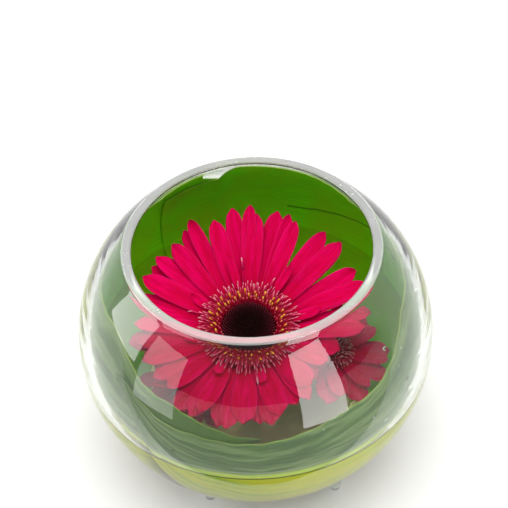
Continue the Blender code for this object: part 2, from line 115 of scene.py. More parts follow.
def add_piece(name, points, face_sets, look, nodes=(), values=None, smooth=True):
    """A mesh object made of points (any shape with 3 numbers last) and sets of faces, riding on the frame."""
    flat = np.asarray(points, dtype=float).reshape(-1, 3)
    faces = [face for group in face_sets for face in group.tolist()]
    mesh = bpy.data.meshes.new(name)
    mesh.from_pydata(flat.tolist(), [], faces)
    mesh.polygons.foreach_set("use_smooth", np.full(len(mesh.polygons), smooth))
    for key, value in (values or {}).items():
        layer = mesh.attributes.new(key, "FLOAT", "POINT")
        layer.data.foreach_set("value", np.broadcast_to(value, np.shape(points)[:-1]).ravel().astype(np.float32))
    mesh.materials.append(look)
    piece = bpy.data.objects.new(name, mesh)
    bpy.context.scene.collection.objects.link(piece)
    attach(piece, "root")
    if nodes:
        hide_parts(*nodes)
    triangles = sum(len(face) - 2 for face in faces)
    print(f"{name}: {len(flat)} points, {triangles} triangles")
    return piece


# %% [markdown]
# Much of this object is thin sheets: petals, leaves, the green scales under a bloom. A sheet is worked out
# as one middle surface, then given two skins and a closed edge. The Solidify modifier does the same, but
# here whole stacks of petals get their thickness in one step, and it can thin out towards the edge.

# %% Helpers for sheets and turned shapes
def sheet_quads(rows, columns):
    """Faces of one sheet with two skins: the upper grid, the lower grid turned over, and the band between."""
    i, j = np.meshgrid(np.arange(rows - 1), np.arange(columns - 1), indexing="ij")
    a = (i * columns + j).reshape(-1)
    upper = np.stack([a, a + columns, a + columns + 1, a + 1], axis=-1)
    lower = upper[:, ::-1] + rows * columns
    down = np.arange(rows) * columns
    side = np.arange(columns)
    loop = np.concatenate([down, down[-1] + side[1:], down[-2::-1] + columns - 1, side[-2:0:-1]])
    nxt = np.roll(loop, -1)
    band = np.stack([nxt, loop, loop + rows * columns, nxt + rows * columns], axis=-1)
    return np.concatenate([upper, lower, band])


def two_skins(middle, thickness):
    """Points of stacked sheets with both skins. The normal is (step along) x (step across), made unit length,
    and the skins lie half the thickness to either side. middle: (sheets, rows, columns, 3)."""
    normal = np.cross(np.gradient(middle, axis=1), np.gradient(middle, axis=2))
    normal /= np.maximum(np.linalg.norm(normal, axis=-1, keepdims=True), 1e-12)
    half = 0.5 * np.asarray(thickness)[..., None] * normal
    return np.stack([middle + half, middle - half], axis=1)


def turned_points(radius, height, steps):
    """A section carried round the upright axis: x = r cos a, y = r sin a, z = h. Rows follow the section."""
    angle = np.linspace(0, 2 * math.pi, steps, endpoint=False)
    r = np.asarray(radius)[:, None]
    z = np.broadcast_to(np.asarray(height)[:, None], (len(radius), steps))
    return np.stack([r * np.cos(angle), r * np.sin(angle), z], axis=-1)


def turned_faces(rows, steps):
    """Quads between the rows of a turned shape, and a fan at either end that closes it with one point each.
    The two closing points come after the grid's points: first the low end, then the high end."""
    quads = grid_quads(rows, steps, wrap=True)
    i = np.arange(steps)
    j = (i + 1) % steps
    low = np.full(steps, rows * steps)
    top = (rows - 1) * steps
    return [quads, np.stack([j, i, low], axis=-1), np.stack([top + i, top + j, low + 1], axis=-1)]


def closed_turn(radius, height, steps, low, high):
    """All points of a turned shape: its grid, then the point that closes either end on the axis."""
    grid = turned_points(radius, height, steps).reshape(-1, 3)
    return np.concatenate([grid, [[0, 0, low]], [[0, 0, high]]])


def smooth_step(share):
    """3s^2 - 2s^3, which leaves 0 and reaches 1 without a corner."""
    s = np.clip(share, 0, 1)
    return s * s * (3 - 2 * s)


print("one sheet of 3 by 3 points has", len(sheet_quads(3, 3)), "faces")

# %% [markdown]
# Materials here are node trees. One helper adds a node and wires it, one makes a ramp of colours, and one
# starts a material with the Principled shader. What is the same all over a surface is typed straight into
# the shader, and only what changes from place to place comes from nodes.

# %% Helpers for materials
def start_look(name, **constants):
    """A material with one Principled shader; underscores in the keywords stand for spaces in socket names."""
    look = bpy.data.materials.new(name)
    look.use_nodes = True
    shader = look.node_tree.nodes["Principled BSDF"]
    for key, value in constants.items():
        shader.inputs[key.replace("_", " ")].default_value = value
    return look, look.node_tree, shader


def add_node(tree, kind, inputs=None, **settings):
    """A new node with its settings, and its inputs given as numbers or as other nodes' outputs."""
    made = tree.nodes.new(kind)
    for key, value in settings.items():
        setattr(made, key, value)
    for key, value in (inputs or {}).items():
        if isinstance(value, bpy.types.NodeSocket):
            tree.links.new(value, made.inputs[key])
        else:
            made.inputs[key].default_value = value
    return made


def value_of(tree, name):
    """The number that each point carries under a name."""
    return add_node(tree, "ShaderNodeAttribute", attribute_name=name).outputs["Fac"]


def sums(tree, operation, a, b=0.0, clamp=False):
    """One step of arithmetic on two numbers."""
    return add_node(tree, "ShaderNodeMath", {0: a, 1: b}, operation=operation, use_clamp=clamp).outputs[0]


def ramp(tree, factor, *stops):
    """A colour ramp through (position, (red, green, blue)) stops."""
    made = add_node(tree, "ShaderNodeValToRGB", {"Fac": factor})
    scale = made.color_ramp.elements
    while len(scale) < len(stops):
        scale.new(0.5)
    for element, (position, colour) in zip(scale, stops):
        element.position = position
        element.color = (*colour, 1.0)
    return made.outputs["Color"]


def mix(tree, factor, a, b, mode="MIX"):
    """One colour over another by a factor."""
    made = add_node(tree, "ShaderNodeMix", data_type="RGBA", blend_type=mode)
    for socket, value in ((made.inputs[0], factor), (made.inputs[6], a), (made.inputs[7], b)):
        if isinstance(value, bpy.types.NodeSocket):
            tree.links.new(value, socket)
        elif isinstance(value, tuple):
            socket.default_value = (*value, 1.0)
        else:
            socket.default_value = value
    return made.outputs[2]


def noise(tree, vector, scale, detail=4.0, rough=0.55):
    """Cloudy noise from 0 to 1."""
    inputs = {"Vector": vector, "Scale": scale, "Detail": detail, "Roughness": rough}
    return add_node(tree, "ShaderNodeTexNoise", inputs).outputs["Fac"]


def place_of(tree, scale=(1.0, 1.0, 1.0)):
    """The point's place in the object, in metres, stretched by a scale."""
    spot = add_node(tree, "ShaderNodeTexCoord").outputs["Object"]
    return add_node(tree, "ShaderNodeMapping", {"Vector": spot, "Scale": scale}).outputs["Vector"]


def bump(tree, shader, height, strength, distance):
    """Small relief in the shading only."""
    inputs = {"Height": height, "Strength": strength, "Distance": distance}
    made = add_node(tree, "ShaderNodeBump", inputs)
    tree.links.new(made.outputs["Normal"], shader.inputs["Normal"])


def let_light_in(look, share=0.80):
    """Lets a part of the lamps' light straight through a clear material, because bent light alone needs far
    more samples to reach what is inside. Shadow rays meet a Transparent shader, all others the glass."""
    tree = look.node_tree
    shader = tree.nodes["Principled BSDF"]
    out = tree.nodes["Material Output"]
    ray = add_node(tree, "ShaderNodeLightPath").outputs["Is Shadow Ray"]
    through = add_node(tree, "ShaderNodeBsdfTransparent", {"Color": (share, share, share, 1.0)})
    both = add_node(tree, "ShaderNodeMixShader", {0: ray, 1: shader.outputs[0], 2: through.outputs[0]})
    tree.links.new(both.outputs[0], out.inputs["Surface"])


print("material helpers ready")

# %% [markdown]
# The bowl is mouth-blown or pressed clear glass about 4 mm thick, cut flat and ground at the mouth. It is a
# shape that was turned while hot, so a section carried round the axis is the true way to make it. The
# section is four quarter ellipses, with a rounded lip, base edge and floor edge. The ground lip scatters
# light and looks milky, so the glass is rougher there.

# %% The bowl
def quarter(radius, rise, low, high, steps):
    """Points (r, h) = (radius cos t, rise sin t) between two heights, evenly spaced in t."""
    t = np.linspace(math.asin(low / rise), math.asin(high / rise), steps)
    return np.stack([radius * np.cos(t), rise * np.sin(t)], axis=-1)


def corner(a, b, c, steps):
    """Points of the curve (1-s)^2 a + 2s(1-s) b + s^2 c, which rounds the corner b from a to c."""
    s = np.linspace(0, 1, steps)[:, None]
    return (1 - s) ** 2 * np.array(a) + 2 * s * (1 - s) * np.array(b) + s**2 * np.array(c)


ROUND = 0.0012
outer_low = quarter(OUTER_RADIUS, OUTER_DROP, BASE + 0.0020, 0.0, 40)
outer_high = quarter(OUTER_RADIUS, OUTER_RISE, 0.0, RIM - ROUND, 40)[1:]
inner_high = quarter(INNER_RADIUS, INNER_RISE, RIM - ROUND, 0.0, 40)
inner_low = quarter(INNER_RADIUS, INNER_DROP, 0.0, FLOOR + 0.005, 40)[1:]
lip_out, lip_in = outer_high[-1], inner_high[0]
lip = np.concatenate([
    corner(lip_out, (lip_out[0] - 0.4 * ROUND, RIM), (lip_out[0] - ROUND, RIM), 6)[1:],
    corner((lip_in[0] + ROUND, RIM), (lip_in[0] + 0.4 * ROUND, RIM), lip_in, 6)[:-1],
])
base_edge = outer_low[0]
floor_edge = inner_low[-1]
base = corner((base_edge[0] - 0.006, BASE), (base_edge[0] - 0.002, BASE), base_edge, 8)[:-1]
floor_round = corner(floor_edge, (floor_edge[0] - 0.004, FLOOR), (floor_edge[0] - 0.009, FLOOR), 8)[1:]
section = np.concatenate([base, outer_low, outer_high, lip, inner_high, inner_low, floor_round])
BOWL_STEPS = 192

glass, tree, shader = start_look(
    "clear_bowl_glass", Base_Color=(0.75, 0.785, 0.74, 1), IOR=1.5, Transmission_Weight=1.0, Roughness=0.0,
)
pull = noise(tree, place_of(tree, (30, 30, 160)), 1.0, 2.0)
bump(tree, shader, pull, 0.05, 0.0015)
let_light_in(glass)

lip_glass, tree, shader = start_look(
    "ground_lip_glass", Base_Color=(0.95, 0.96, 0.94, 1), IOR=1.5, Transmission_Weight=0.64,
)
scratches = noise(tree, place_of(tree, (90, 90, 3000)), 1.0, 3.0)
tree.links.new(ramp(tree, scratches, (0.3, (0.16, 0.16, 0.16)), (0.7, (0.30, 0.30, 0.30))), shader.inputs["Roughness"])
tree.links.new(ramp(tree, scratches, (0.3, (0.90, 0.92, 0.89)), (0.7, (1.0, 1.0, 0.99))), shader.inputs["Base Color"])
bump(tree, shader, scratches, 0.08, 0.0003)
let_light_in(lip_glass)

BEADS = (
    (-40, 0.033, 0.9), (-37, 0.022, 0.7), (-35, 0.013, 1.0), (-47, 0.002, 0.8), (-33, 0.027, 0.5), (-52, 0.009, 0.6),
    (-118, 0.004, 0.9), (-131, 0.012, 0.8), (-140, 0.020, 0.6), (-125, 0.017, 0.5), (115, 0.041, 0.6), (-70, 0.016, 0.5),
)
BEAD_ROWS = 7
BEAD_STEPS = 12


def bead_points(turn_deg, height, size):
    """A drop on the inner wall: a flattened ball whose middle lies just inside the glass surface. Its axes are
    the wall's normal n, the level direction e and the third one f = n x e."""
    turn = math.radians(turn_deg)
    lift = math.asin(height / INNER_RISE)
    n = np.array([math.cos(lift) / INNER_RADIUS, math.sin(lift) / INNER_RISE])
    n /= np.linalg.norm(n)
    normal = np.array([n[0] * math.cos(turn), n[0] * math.sin(turn), n[1]])
    level = np.array([-math.sin(turn), math.cos(turn), 0.0])
    other = np.cross(normal, level)
    r = INNER_RADIUS * math.cos(lift)
    centre = np.array([r * math.cos(turn), r * math.sin(turn), WAIST + height]) - 0.0003 * normal
    rise = np.linspace(-math.pi / 2, math.pi / 2, BEAD_ROWS + 2)[1:-1]
    local = closed_turn(np.cos(rise), np.sin(rise), BEAD_STEPS, -1.0, 1.0) * 0.001 * size
    return centre + local[:, :1] * level + local[:, 1:2] * other + 0.45 * local[:, 2:] * normal


wall_points = closed_turn(section[:, 0], section[:, 1] + WAIST, BOWL_STEPS, BASE + WAIST, FLOOR + WAIST)
beads = np.concatenate([bead_points(*bead) for bead in BEADS])
bead_faces = [
    repeat_faces(group, len(BEADS), len(beads) // len(BEADS)) + len(wall_points)
    for group in turned_faces(BEAD_ROWS, BEAD_STEPS)
]
bowl = add_piece(
    "glass_bowl", np.concatenate([wall_points, beads]), turned_faces(len(section), BOWL_STEPS) + bead_faces, glass,
    ("bowl",))
bowl.data.materials.append(lip_glass)
middles = np.empty(3 * len(bowl.data.polygons))
bowl.data.polygons.foreach_get("center", middles)
on_lip = middles.reshape(-1, 3)[:, 2] > WAIST + RIM - 0.0009
bowl.data.polygons.foreach_set("material_index", on_lip.astype(np.int32))
print("faces on the ground lip:", int(on_lip.sum()))

# %% [markdown]
# Two small knobs show below the bowl's front edge, and four keep it steady. They were pressed on while the
# glass was hot: flat at the tip, widening to the underside. Each is a turned shape whose top row takes its
# height from the bowl's own ellipse, so it sits on the curve all round.

# %% The feet
FEET = ((-0.029, -0.0466), (0.029, -0.0466), (0.029, 0.0466), (-0.029, 0.0466))
FEET_TURN = math.radians(1.9)
FEET_OFF_CENTRE = 0.003
FOOT_STEPS = 36


def underside(x, y):
    """Height of the bowl's lower outside over a point of the table, from its ellipse."""
    return WAIST - OUTER_DROP * np.sqrt(1 - (x**2 + y**2) / OUTER_RADIUS**2)


def foot_points(x, y):
    """A knob: for each ring, a radius r(s) and a height that goes from the table to the glass above it."""
    share = np.array([0.0, 0.03, 0.10, 0.25, 0.45, 0.65, 0.85, 1.0])[:, None]
    radius = np.array([0.0018, 0.0023, 0.0026, 0.0028, 0.0031, 0.0036, 0.0041, 0.0045])[:, None]
    angle = np.linspace(0, 2 * math.pi, FOOT_STEPS, endpoint=False)
    px = x + radius * np.cos(angle)
    py = y + radius * np.sin(angle)
    top = underside(px, py) - 0.0004
    ring = np.stack([px, py, share**1.2 * top], axis=-1).reshape(-1, 3)
    return np.concatenate([ring, [[x, y, 0.0]], [[x, y, underside(x, y) - 0.0004]]])


foot_glass, tree, shader = start_look(
    "foot_glass", Base_Color=(0.85, 0.90, 0.86, 1), IOR=1.5, Transmission_Weight=0.92, Roughness=0.12,
)
cloud = noise(tree, place_of(tree), 900)
tree.links.new(ramp(tree, cloud, (0.3, (0.70, 0.76, 0.71)), (0.7, (0.92, 0.95, 0.92))), shader.inputs["Base Color"])
bump(tree, shader, cloud, 0.3, 0.0003)
let_light_in(foot_glass)
for number, (fx, fy) in enumerate(FEET, start=1):
    x = fx * math.cos(FEET_TURN) - fy * math.sin(FEET_TURN) + FEET_OFF_CENTRE
    y = fx * math.sin(FEET_TURN) + fy * math.cos(FEET_TURN)
    add_piece(
        f"glass_foot_{number}", foot_points(x, y), turned_faces(8, FOOT_STEPS), foot_glass,
        (f"foot_{number}",),
    )

# %% [markdown]
# The water stands a little below the waist. In the real bowl it wets the glass, and its edge climbs the
# wall in a small curve, which shows as a double pale line from outside; the leaves' material paints that
# double line in too, a painted reflection. Its side lies a hair inside the glass wall: light then leaves
# the glass and enters the water without an air gap in between.

# %% The water
MENISCUS = 0.0016
INTO_GLASS = 0.0001


def wall(lift, inwards):
    """Radius and height above the waist of the bowl's inner curve at an angle, moved in along its normal."""
    rise = np.where(lift >= 0, INNER_RISE, INNER_DROP)
    nx = np.cos(lift) / INNER_RADIUS
    nz = np.sin(lift) / rise
    size = np.hypot(nx, nz)
    return INNER_RADIUS * np.cos(lift) - inwards * nx / size, rise * np.sin(lift) - inwards * nz / size


def lift_of(height):
    """The angle at which the bowl's inner curve reaches a height above the waist."""
    return np.arcsin(height / np.where(height >= 0, INNER_RISE, INNER_DROP))


side_lift = np.linspace(lift_of(FLOOR + 0.005), lift_of(WATER_LEVEL + MENISCUS), 60)
side_r, side_z = wall(side_lift, -INTO_GLASS)
floor_r = np.linspace(side_r[0] - 0.0085, side_r[0] - 0.0006, 5)
floor_z = FLOOR - INTO_GLASS + 0.0048 * smooth_step(np.linspace(0, 0.93, 5)) ** 1.6
top_r = side_r[-1] - np.array([0.0004, 0.0010, 0.0020, 0.0034, 0.0055, 0.0090, 0.02, 0.04, 0.055])
top_z = WATER_LEVEL + MENISCUS * np.exp(-(side_r[-1] - top_r) / 0.0012)
water_r = np.concatenate([floor_r, side_r, top_r])
water_z = np.concatenate([floor_z, side_z, top_z]) + WAIST
WATER_STEPS = 128

water_look, tree, shader = start_look(
    "still_water", Base_Color=(0.90, 0.70, 0.34, 1), IOR=1.33, Transmission_Weight=1.0, Roughness=0.0,
)
ripple = noise(tree, place_of(tree, (1, 1, 0.2)), 45)
bump(tree, shader, ripple, 0.15, 0.002)
let_light_in(water_look, 0.9)
water_points = closed_turn(water_r, water_z, WATER_STEPS, FLOOR - INTO_GLASS + WAIST, WATER_LEVEL + WAIST)
add_piece("still_water", water_points, turned_faces(len(water_r), WATER_STEPS), water_look, ("water",))

# %% [markdown]
# Two broad leaves are bent round the inside of the wall, so their long veins run level. Each leaf is a
# function of the turn round the axis and of the share of the way from its lower to its upper edge. The
# edges are smooth curves through a few stops. Veins are a low relief, and the upper edge waves a little.

# %% The shape of the leaves
LEAF_THICKNESS = 0.0006
LEAF_CLEARANCE = 0.00062
OVERLAP = 0.0008
LEAF_ROWS = 61
VEINS = 24


def through(stops, degrees):
    """Values between (degrees, value) stops, each pair joined by a smooth step."""
    at, value = np.array(stops, dtype=float).T
    i = np.clip(np.searchsorted(at, degrees, side="right") - 1, 0, len(at) - 2)
    share = smooth_step((degrees - at[i]) / (at[i + 1] - at[i]))
    return value[i] + (value[i + 1] - value[i]) * share


def leaf_middle(top, bottom, inset):
    """Middle surface of a leaf: at each turn the lift angle goes evenly from the lower to the upper edge,
    and the distance from the glass is the clearance plus the inset, a low wave and the veins' relief."""
    degrees = np.arange(top[0][0], top[-1][0] + 0.5, 1.0)
    turn = np.radians(degrees)[:, None]
    share = np.linspace(0, 1, LEAF_ROWS)[None, :]
    edge_wave = 0.0004 * np.sin(3.1 * turn) * np.sin(8.3 * turn + 0.6) + 0.00025 * np.sin(41 * turn)
    high = lift_of(through(top, degrees)[:, None] + edge_wave)
    low = lift_of(through(bottom, degrees))[:, None]
    lift = low + (high - low) * share
    relief = 0.00005 * np.cos(2 * math.pi * VEINS * share)
    swell = 0.00016 * (1 + np.sin(5 * turn + 4 * share) * np.sin(9 * share + 2 * turn))
    r, z = wall(lift, LEAF_CLEARANCE + through(inset, degrees)[:, None] + relief + swell)
    middle = np.stack([r * np.cos(turn), r * np.sin(turn), z + WAIST], axis=-1)
    return middle[None], degrees, share


LEAVES = {
    "right": (
        ((-144, 0.024), (-117, 0.0155), (-90, 0.0145), (-54, 0.021), (-18, 0.036), (9, 0.043), (30, 0.0542),
         (96, 0.0542), (99, 0.0450), (103, 0.0345), (113, 0.0335), (126, 0.030)),
        ((-144, 0.020), (-108, -0.040), (-90, -0.050), (72, -0.050), (126, -0.036)),
        ((-144, 0.0), (94, 0.0), (101, OVERLAP), (126, OVERLAP)),
    ),
    "left": (
        ((99, 0.030), (105, 0.0345), (109, 0.0370), (113, 0.0542), (142, 0.0542), (162, 0.044), (180, 0.037), (207, 0.037),
         (234, 0.026), (270, 0.0160)),
        ((99, -0.038), (108, -0.043), (126, -0.050), (207, -0.050), (234, -0.030), (270, 0.0148)),
        ((99, 0.0), (198, 0.0), (216, OVERLAP), (270, OVERLAP)),
    ),
}
print("leaf stops:", [len(stops) for leaf in LEAVES.values() for stops in leaf])

# %% [markdown]
# A leaf is waxy on its upper side, which faces the water, and paler and duller on its back, which faces
# the glass. Its colour runs in fine lines along the veins, with a thin yellow edge. Noise that is squeezed
# across the leaf and drawn out along it gives those lines, and every point carries which skin it is on.

# %% The look of the leaves
leaf_look, tree, shader = start_look(
    "leaf_green", Roughness=0.42, Subsurface_Weight=0.30, Subsurface_Scale=0.001,
    Specular_IOR_Level=0.3)
shader.inputs["Subsurface Radius"].default_value = (0.5, 1.0, 0.15)
lengthwise = value_of(tree, "along")
crosswise = value_of(tree, "across")
back = value_of(tree, "back")


def leaf_noise(stretch, detail=4.0):
    """Noise on the leaf's own directions: (turn, share of the way up, skin), each stretched by a number."""
    spot = add_node(tree, "ShaderNodeCombineXYZ", {0: lengthwise, 1: crosswise, 2: back}).outputs[0]
    moved = add_node(tree, "ShaderNodeMapping", {"Vector": spot, "Scale": stretch}).outputs[0]
    return noise(tree, moved, 1.0, detail)


fine = leaf_noise((3, 110, 1))
streaks = leaf_noise((1.3, 16, 1), 3.0)
broad = leaf_noise((2.2, 3, 1), 2.0)
face_green = ramp(tree, fine, (0.35, (0.26, 0.84, 0.003)), (0.65, (0.36, 0.98, 0.008)))
face_green = mix(tree, ramp(tree, broad, (0.38, (0, 0, 0)), (0.62, (0.8, 0.8, 0.8))), face_green, (0.42, 0.76, 0.005))
dry_back = ramp(
    tree, streaks, (0.30, (0.045, 0.11, 0.018)), (0.46, (0.09, 0.18, 0.035)), (0.58, (0.22, 0.32, 0.11)),
    (0.70, (0.08, 0.17, 0.030)))
wet_back = ramp(
    tree, streaks, (0.30, (0.36, 0.70, 0.008)), (0.50, (0.74, 0.96, 0.012)), (0.68, (0.84, 1.00, 0.018)))
height = add_node(tree, "ShaderNodeSeparateXYZ", {0: place_of(tree)}).outputs[2]
WET_TO = WAIST + WATER_LEVEL + 0.0048
under_water = sums(tree, "MULTIPLY", sums(tree, "SUBTRACT", WET_TO, height), 500.0, clamp=True)
back_green = mix(tree, under_water, dry_back, wet_back)
# Two pale lines just above and below the wet edge: a painted reflection of the water's curved edge.
for line_height, strength in ((WET_TO + 0.0004, 0.75), (WET_TO - 0.0016, 0.55)):
    off = sums(tree, "DIVIDE", sums(tree, "ABSOLUTE", sums(tree, "SUBTRACT", height, line_height)), 0.0006)
    waterline_glint = sums(tree, "MULTIPLY", sums(tree, "SUBTRACT", 1.0, off, clamp=True), strength)
    back_green = mix(tree, waterline_glint, back_green, (0.50, 0.56, 0.40))
# The turned-over end of the left leaf is painted a darker green: painted shade.
back_green = mix(tree, value_of(tree, "turned"), back_green, mix(tree, fine, (0.045, 0.12, 0.006), (0.10, 0.20, 0.012)))
green = mix(tree, back, face_green, back_green)

# %% [markdown]
# Two lines finish the leaf: the midrib, a thin dark crease along its middle, and the edge, where the blade
# thins out and turns yellow. Both are drawn where the share of the way up is close to a value.

# %% Midrib and edge of the leaves
MIDRIB = 0.53
MIDRIB_CLIMB = 0.11


def line_at(middle, half_width):
    """1 on the line where the share of the way up equals the middle, falling to 0 at half_width away."""
    away = sums(tree, "ABSOLUTE", sums(tree, "SUBTRACT", crosswise, middle))
    return sums(tree, "SUBTRACT", 1.0, sums(tree, "DIVIDE", away, half_width), clamp=True)


climb = sums(tree, "MULTIPLY", sums(tree, "SUBTRACT", 1.25, lengthwise), MIDRIB_CLIMB)
rib = sums(tree, "ADD", sums(tree, "MULTIPLY", sums(tree, "MAXIMUM", climb, 0.0), 1.0), MIDRIB)
rib_line = sums(tree, "MULTIPLY", line_at(rib, 0.008), sums(tree, "LESS_THAN", lengthwise, 1.32))
green = mix(tree, sums(tree, "MULTIPLY", rib_line, 0.8), green, (0.025, 0.085, 0.004))
green = mix(tree, sums(tree, "MULTIPLY", line_at(1.0, 0.007), 0.75), green, (0.30, 0.38, 0.06))
tree.links.new(green, shader.inputs["Base Color"])
bump(tree, shader, fine, 0.15, 0.0004)

# %% [markdown]
# Here each leaf gets its two skins, half as thick at the edges as in the middle. The end of the left leaf
# is turned over and lies in shade, and shows as a dark wedge from in front. Its points carry a value that
# the material reads as a darker green: painted shade, as the sheet itself is not turned.

# %% Build the leaves
TURNED_SHADE_FROM = 226
for side, (top, bottom, inset) in LEAVES.items():
    middle, degrees, share = leaf_middle(top, bottom, inset)
    rows, columns = middle.shape[1:3]
    thin = LEAF_THICKNESS * (1 - 0.5 * np.abs(2 * share - 1) ** 6)[None]
    skins = two_skins(middle, np.broadcast_to(thin, middle.shape[:3]))
    ones = np.ones(skins.shape[:-1])
    turned_end_shade = smooth_step((degrees - TURNED_SHADE_FROM) / 12) if side == "left" else 0 * degrees
    outward = np.array([1.0, 0.0])[None, :, None, None]
    add_piece(
        f"lining_leaf_{side}", skins, [sheet_quads(rows, columns)], leaf_look, (f"leaf_{side}",),
        {"along": ones * np.radians(degrees)[None, None, :, None], "across": ones * share[None, None],
         "back": ones * outward, "turned": ones * turned_end_shade[None, None, :, None]},
    )

# %% [markdown]
# Each bloom is built lying flat with its eye up, then leaned and put in its place. A turn about a level
# line is all it takes, and Rodrigues' formula gives its matrix.

# %% Where each bloom lies
def bloom_place(bloom):
    """Turn matrix and centre of a bloom: I + sin(a) K + (1 - cos a) K^2, with K the cross product by the
    level line that is square to the way it leans."""
    towards = math.radians(bloom["lean_towards"])
    angle = math.radians(bloom["lean"])
    x, y = -math.sin(towards), math.cos(towards)
    cross = np.array([[0, 0, y], [0, 0, -x], [-y, x, 0]])
    turn = np.eye(3) + math.sin(angle) * cross + (1 - math.cos(angle)) * cross @ cross
    return turn, np.array(bloom["centre"]) + np.array([0, 0, WAIST])


def set_in_bowl(bloom, points):
    """Points of a flat-lying bloom moved to its place in the bowl."""
    turn, centre = bloom_place(bloom)
    return points @ turn.T + centre


for name, bloom in BLOOMS.items():
    print(name, "centre", np.round(bloom_place(bloom)[1], 4))

# %% [markdown]
# What looks like one flower is a head of many. The long straps are ray florets: nearly parallel-sided, with
# a blunt tip that has small teeth, two faint grooves along them and a slight arch. They grow in layers from
# a flat base. One function bends a grid into every strap of a bloom at once; each strap has its own length,
# width, rise, droop, tilt, arch, sway and twist, drawn from a seeded generator.

# %% The ray florets
RAY_ROWS = 26
RAY_COLUMNS = 11
RAY_THICKNESS = 0.00042
TIP_FROM = 0.66
ROOT_INSIDE = 0.0025
FRONT_WIDER = 0.12


def kept_reach(bloom, degrees):
    """Share of its length that a strap keeps where its neighbours leave it little room."""
    share = 1.0
    for middle, half_width, least in bloom["crowded"]:
        apart = abs((degrees - middle + 180) % 360 - 180) / half_width
        if apart < 1:
            share = min(share, least + (1 - least) * apart**4)
    return share


def ray_list(bloom, draw, extra):
    """One row of numbers per strap: turn, tip, width, rise, level, bend, tilt, then arch, sway, twist, tone.
    Reach and rise grow with the cosine of the angle to the roomy side, and tips shrink where it is crowded."""
    rays = []
    edge = bloom["ring"]
    roomy_side, more_reach, more_rise = bloom["roomy_side"]
    for layer, (count, reach, width, rise, level) in enumerate(bloom["layers"]):
        for i in range(count):
            degrees = 360 * (i + 0.5 * (layer % 2) + 0.25) / count + draw.uniform(-2.0, 2.0)
            roomy = math.cos(math.radians(degrees - roomy_side))
            tip = reach * (1 + more_reach * roomy + draw.uniform(-0.05, 0.04))
            tip = edge + (tip - edge) * kept_reach(bloom, degrees)
            wider = 1 - FRONT_WIDER * math.sin(math.radians(degrees))
            rays.append([
                math.radians(degrees), tip, width * wider * draw.uniform(0.9, 1.06),
                math.radians(rise + more_rise * roomy + draw.uniform(-1.5, 1.5)), 0.0009 + level * 0.00095,
                draw.uniform(-0.0012, 0.0006), draw.uniform(-0.0006, 0.0006),
            ])
    more = extra.uniform(-1, 1, (len(rays), 4))
    return np.concatenate([np.array(rays), more], axis=1)


def ray_sheets(rays, edge):
    """Middle surfaces of the straps, with u from root to tip and v from -1 to 1 across.
    Distance out = root + (tip - root) u, less a rounding in v^2 and small teeth that act near the tip.
    Height = level + (distance - edge) tan(rise) + bend u^2 + tilt v u + fold (v^2 - 0.4) u - grooves, and a
    small twist and ripple. Where the tone is near -1 or 1 the fold is deep and the strap narrower.
    Sideways = v times half the width + sway u^2; the width grows as a sine and closes as a round arc, the
    square root of 1 - p^2.3 with p the share of the way through the tip."""
    turn, tip, width, rise, level, bend, tilt, arch, sway, twist, tone = (
        rays[:, k][:, None, None] for k in range(rays.shape[1]))
    u = np.linspace(0, 1, RAY_ROWS)[None, :, None]
    v = np.linspace(-1, 1, RAY_COLUMNS)[None, None, :]
    root = edge - ROOT_INSIDE
    past = np.clip((u - TIP_FROM) / (1 - TIP_FROM), 0, 1)
    teeth = 0.022 * width * (1 - np.cos(3 * math.pi * v)) * past**4
    out = root + (tip - root) * u - 0.10 * width * v**2 * past**3 - teeth
    wide = 0.40 + 0.58 * np.sin(0.5 * math.pi * np.minimum(u / 0.60, 1)) ** 0.9
    wide = wide * np.sqrt(np.maximum(1 - (0.985 * past) ** 2.3, 0))
    aside = 0.5 * width * wide * v + 0.0014 * sway * u**2 * (tip / 0.05)
    grooves = 0.00016 * np.cos(2 * math.pi * v) * np.minimum(4 * u, 1)
    height = level + (out - edge) * np.tan(rise) + bend * u**2 + tilt * v * u
    fold = 0.0005 + 0.0006 * arch + 0.0024 * np.clip(np.abs(tone) - 0.72, 0, 0.28) / 0.28
    aside = aside * (1 - 0.25 * np.clip(np.abs(tone) - 0.72, 0, 0.28) / 0.28)
    height = height + fold * (v**2 - 0.4) * u * (width / 0.011) - grooves
    height = height + 0.0007 * twist * u**3 * v + 0.0003 * np.sin(9 * u + 6 * tone) * u
    return np.stack([
        out * np.cos(turn) - aside * np.sin(turn),
        out * np.sin(turn) + aside * np.cos(turn),
        height + np.zeros_like(out),
    ], axis=-1)


print("points of one strap:", 2 * RAY_ROWS * RAY_COLUMNS)

# %% [markdown]
# The straps are a saturated crimson pink, matt because of tiny bumps on their skin, with finer and darker
# lines along them, a deeper root and a paler edge. The deeper root is partly the strap's own colour and
# partly painted shade where it lies under the ring and the layers above; the paler edge is a painted
# highlight. Noise stretched along the strap makes the lines, a ramp along its length the root, and a high
# roughness with hardly any mirror gloss the matt skin.

# %% The look of the ray florets
ray_look, tree, shader = start_look(
    "ray_pink", Roughness=0.6, Subsurface_Weight=0.12, Subsurface_Scale=0.0008, Specular_IOR_Level=0.015,
)
shader.inputs["Subsurface Radius"].default_value = (1.0, 0.1, 0.25)
lengthwise = value_of(tree, "along")
crosswise = value_of(tree, "across")
tone = value_of(tree, "tone")
line_place = add_node(tree, "ShaderNodeCombineXYZ", {0: lengthwise, 1: crosswise, 2: tone}).outputs[0]
lines = noise(tree, add_node(tree, "ShaderNodeMapping", {"Vector": line_place, "Scale": (1.5, 14, 40)}).outputs[0], 1.0)
clouds = noise(tree, add_node(tree, "ShaderNodeMapping", {"Vector": line_place, "Scale": (3, 2, 90)}).outputs[0], 1.0)
pink = ramp(tree, lines, (0.30, (0.42, 0.0, 0.030)), (0.48, (0.66, 0.0, 0.080)), (0.72, (0.80, 0.0, 0.130)))
